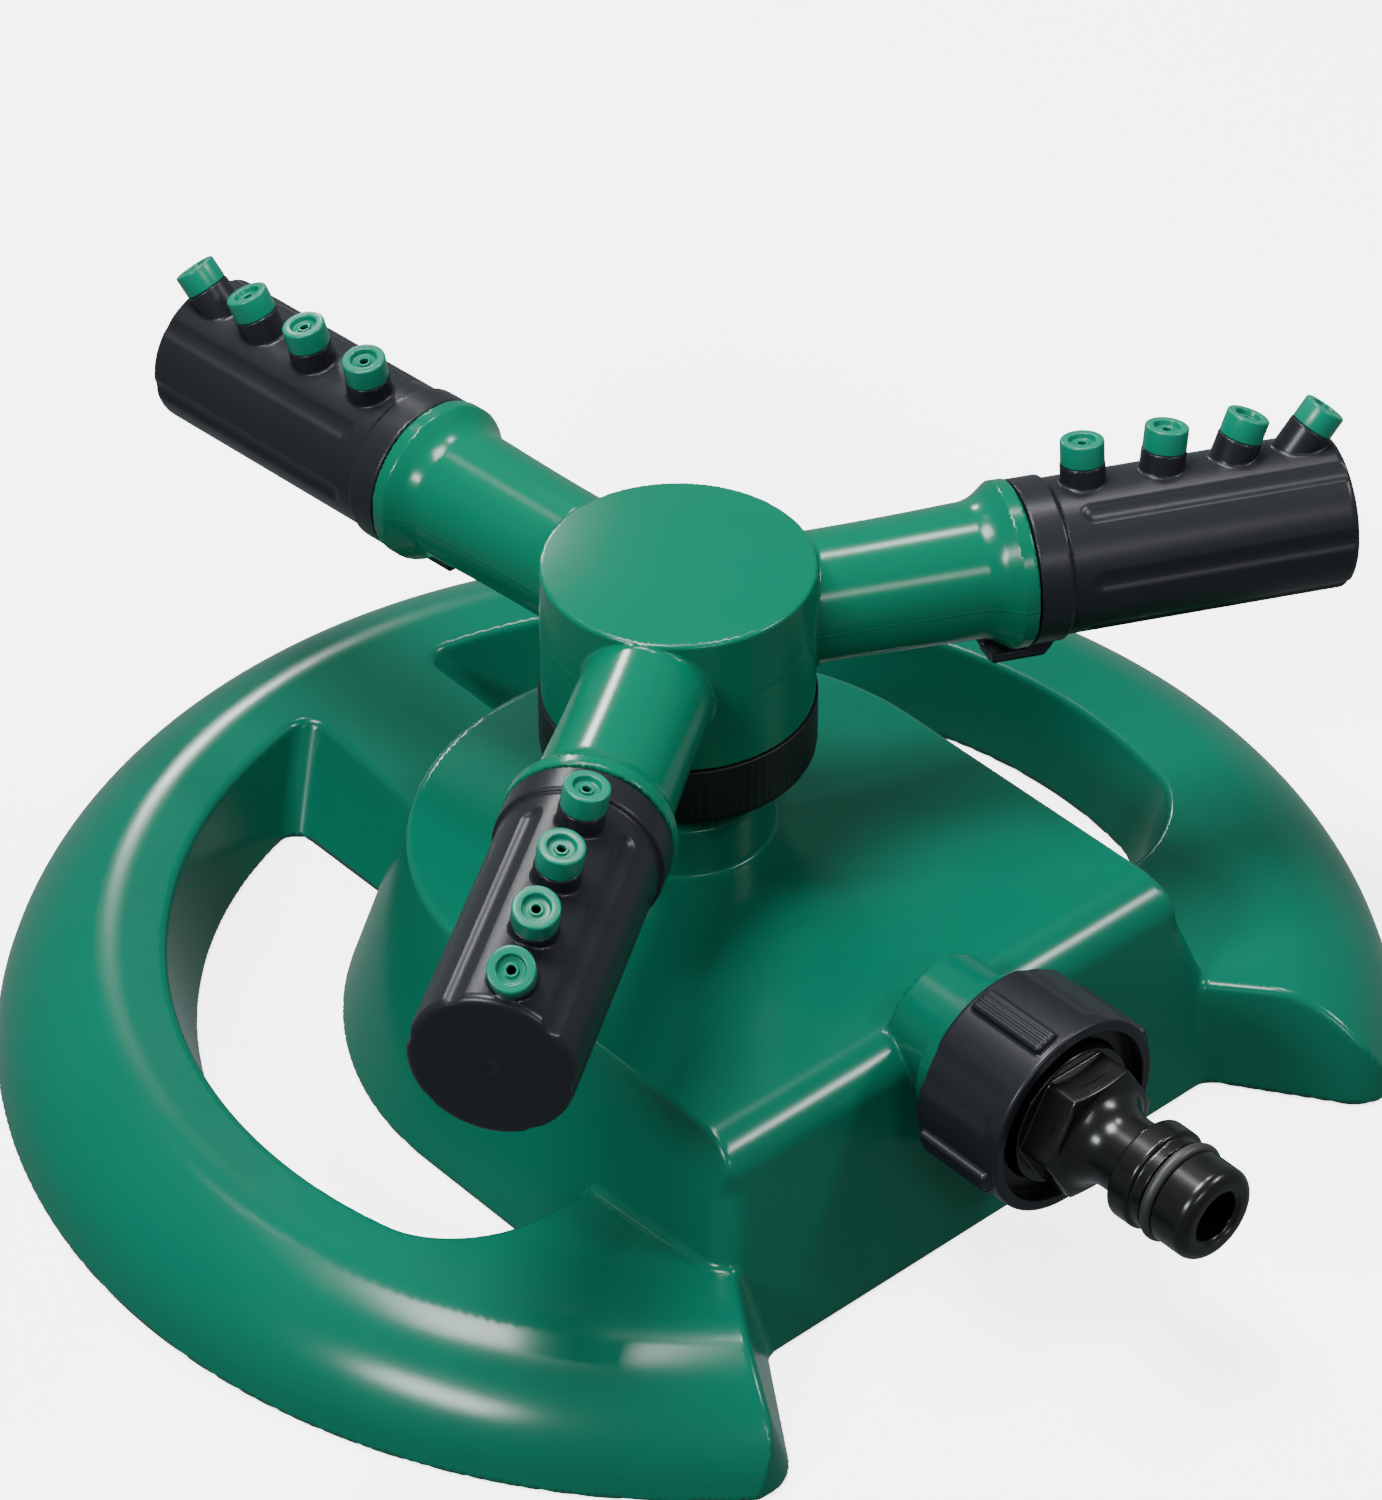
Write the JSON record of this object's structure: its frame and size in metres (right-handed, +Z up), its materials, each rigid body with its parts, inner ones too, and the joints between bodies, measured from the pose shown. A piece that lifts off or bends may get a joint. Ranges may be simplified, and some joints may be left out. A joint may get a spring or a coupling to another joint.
{
  "type": "rotary lawn sprinkler",
  "caption": "Hollow C-shaped ground base with a hump, a spinning hub with angled nozzle barrels on its arms, and a hose nipple held by a swivel nut.",
  "frame": {"origin": "on the ground, under the spinning head's axis", "axes": "+Z up along the head's axis, -Y out along the hose inlet, +X to the right seen from the inlet"},
  "size_m": [0.232, 0.234, 0.097],
  "materials": {
    "base_green": "semi-gloss",
    "head_green": "gloss",
    "soft_black": "satin",
    "gloss_black": "gloss",
    "seal_black": "matte",
    "washer_white": "matte"
  },
  "bodies": {
    "base": {"base_shell": "base_green", "inlet_pipe": "base_green", "pivot_post": "soft_black", "post_gasket": "seal_black"},
    "head": {"spray_head": "head_green", "retaining_ring": "soft_black", "thrust_washer": "washer_white", "head_seal": "seal_black", "arm_oring_1": "seal_black", "arm_oring_2": "seal_black", "arm_oring_3": "seal_black"},
    "barrel_1": {"nozzle_barrel_1": "soft_black", "nozzle_tip_1_1": "head_green", "nozzle_tip_1_2": "head_green", "nozzle_tip_1_3": "head_green", "nozzle_tip_1_4": "head_green"},
    "barrel_2": {"nozzle_barrel_2": "soft_black", "nozzle_tip_2_1": "head_green", "nozzle_tip_2_2": "head_green", "nozzle_tip_2_3": "head_green", "nozzle_tip_2_4": "head_green"},
    "barrel_3": {"nozzle_barrel_3": "soft_black", "nozzle_tip_3_1": "head_green", "nozzle_tip_3_2": "head_green", "nozzle_tip_3_3": "head_green", "nozzle_tip_3_4": "head_green"},
    "adaptor": {"hose_adaptor": "gloss_black", "adaptor_oring": "seal_black", "inlet_washer": "seal_black"},
    "nut": {"swivel_nut": "soft_black"}
  },
  "joints": [
    {"name": "head_spin", "type": "hinge", "parent": "base", "child": "head", "pos_m": [0, 0, 0.0764], "axis": [0, 0, 1], "continuous": true},
    {"name": "barrel_1_tilt", "type": "hinge", "parent": "head", "child": "barrel_1", "pos_m": [0, 0, 0.0764], "axis": [0.9003, -0.4352, 0], "range_deg": [-35, 55]},
    {"name": "barrel_2_tilt", "type": "hinge", "parent": "head", "child": "barrel_2", "pos_m": [0, 0, 0.0764], "axis": [-0.0732, 0.9973, 0], "range_deg": [-35, 55]},
    {"name": "barrel_3_tilt", "type": "hinge", "parent": "head", "child": "barrel_3", "pos_m": [0, 0, 0.0764], "axis": [-0.8271, -0.5621, 0], "range_deg": [-35, 55]},
    {"name": "adaptor_travel", "type": "slide", "parent": "base", "child": "adaptor", "axis": [0, -1, 0], "range_m": [0, 0.00726]},
    {"name": "nut_turn", "type": "hinge", "parent": "adaptor", "child": "nut", "pos_m": [0, -0.08275, 0.0323], "axis": [0, -1, 0], "range_deg": [0, 1440]}
  ],
  "couplings": [
    {"joint": "adaptor_travel", "follows": "nut_turn", "m_per_rad": 0.00028871}
  ]
}
